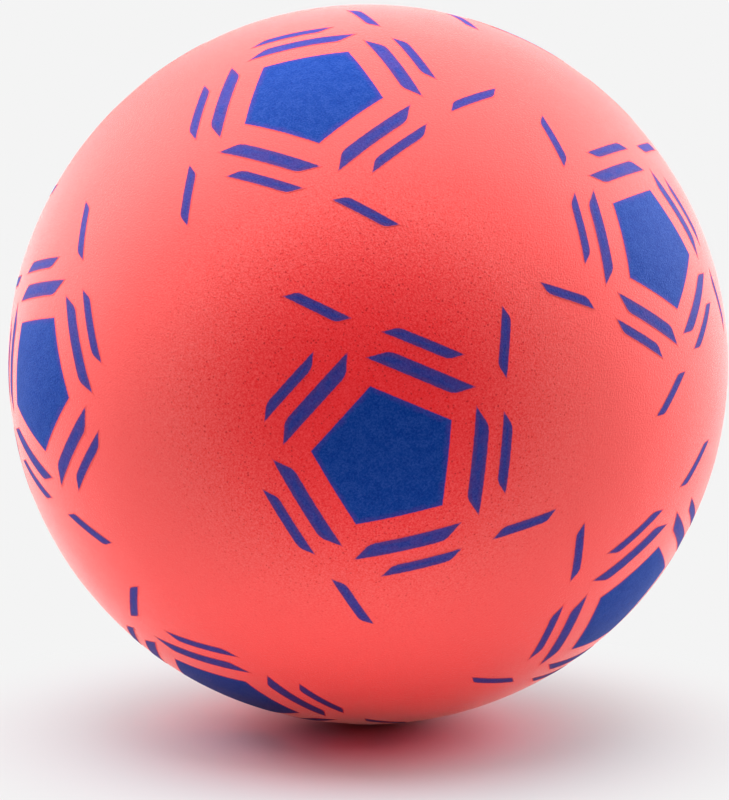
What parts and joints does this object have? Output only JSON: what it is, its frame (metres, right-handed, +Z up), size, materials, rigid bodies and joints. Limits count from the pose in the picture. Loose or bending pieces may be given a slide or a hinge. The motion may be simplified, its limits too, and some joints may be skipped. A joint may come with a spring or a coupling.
{
  "type": "foam ball",
  "caption": "Soft moulded foam play ball in coral, printed with blue pentagons and slanted dashes laid out like a classic football, resting on a small flattened patch.",
  "frame": {"origin": "middle of the flattened patch that the ball rests on", "axes": "+Z up through the ball's centre, -Y towards the front print"},
  "size_m": [0.205, 0.206, 0.2045],
  "materials": {
    "coral_foam": "moulded open-cell polyurethane foam, fine pores, matt",
    "pentagon_ink": "cobalt pad ink, matt, foam grain showing through",
    "dash_ink": "violet blue pad ink, thin, matt, foam grain showing through"
  },
  "bodies": {
    "root": {"back_left_pentagon": "pentagon_ink", "back_pentagon": "pentagon_ink", "back_right_pentagon": "pentagon_ink", "foam_body": "coral_foam", "front_inner_dash_1": "dash_ink", "front_inner_dash_2": "dash_ink", "front_inner_dash_3": "dash_ink", "front_inner_dash_4": "dash_ink", "front_inner_dash_5": "dash_ink", "front_outer_dash_1": "dash_ink", "front_outer_dash_2": "dash_ink", "front_outer_dash_3": "dash_ink", "front_outer_dash_4": "dash_ink", "front_outer_dash_5": "dash_ink", "front_pentagon": "pentagon_ink", "front_seam_dash_1": "dash_ink", "front_seam_dash_2": "dash_ink", "front_seam_dash_3": "dash_ink", "left_inner_dash_1": "dash_ink", "left_inner_dash_2": "dash_ink", "left_inner_dash_3": "dash_ink", "left_inner_dash_4": "dash_ink", "left_inner_dash_5": "dash_ink", "left_outer_dash_1": "dash_ink", "left_outer_dash_2": "dash_ink", "left_outer_dash_3": "dash_ink", "left_outer_dash_4": "dash_ink", "left_outer_dash_5": "dash_ink", "left_pentagon": "pentagon_ink", "lower_back_pentagon": "pentagon_ink", "lower_left_pentagon": "pentagon_ink", "lower_right_pentagon": "pentagon_ink", "right_inner_dash_1": "dash_ink", "right_inner_dash_2": "dash_ink", "right_inner_dash_3": "dash_ink", "right_inner_dash_4": "dash_ink", "right_inner_dash_5": "dash_ink", "right_outer_dash_1": "dash_ink", "right_outer_dash_2": "dash_ink", "right_outer_dash_3": "dash_ink", "right_outer_dash_4": "dash_ink", "right_outer_dash_5": "dash_ink", "right_pentagon": "pentagon_ink", "top_left_pentagon": "pentagon_ink", "top_right_pentagon": "pentagon_ink", "upper_inner_dash_1": "dash_ink", "upper_inner_dash_2": "dash_ink", "upper_inner_dash_3": "dash_ink", "upper_inner_dash_4": "dash_ink", "upper_inner_dash_5": "dash_ink", "upper_outer_dash_1": "dash_ink", "upper_outer_dash_2": "dash_ink", "upper_outer_dash_3": "dash_ink", "upper_outer_dash_4": "dash_ink", "upper_outer_dash_5": "dash_ink", "upper_pentagon": "pentagon_ink", "upper_seam_dash_1": "dash_ink", "upper_seam_dash_2": "dash_ink", "upper_seam_dash_3": "dash_ink", "upper_seam_dash_4": "dash_ink"}
  },
  "joints": []
}
